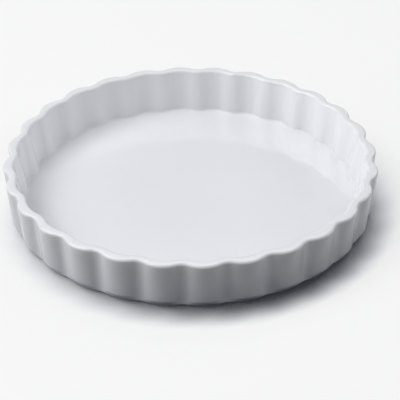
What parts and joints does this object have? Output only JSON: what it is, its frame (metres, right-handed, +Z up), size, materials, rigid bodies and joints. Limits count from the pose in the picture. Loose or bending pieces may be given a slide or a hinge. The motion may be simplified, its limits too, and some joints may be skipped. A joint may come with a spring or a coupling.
{
  "type": "fluted quiche dish",
  "caption": "Shallow round porcelain quiche dish with a fluted wall that leans outwards, a rounded lip, a flat glazed floor and a bare foot ring.",
  "frame": {"origin": "the middle of the circle that the foot ring draws on the table, at table height", "axes": "+Z up along the dish's axis, +X through the middle of a lobe"},
  "size_m": [0.2796, 0.2796, 0.0385],
  "materials": {
    "porcelain": "matt, unglazed",
    "white_glaze": "gloss",
    "underside_glaze": "gloss"
  },
  "bodies": {
    "root": {"porcelain_body": "porcelain", "glaze_coat": "white_glaze", "underside_glaze": "underside_glaze"}
  },
  "joints": []
}
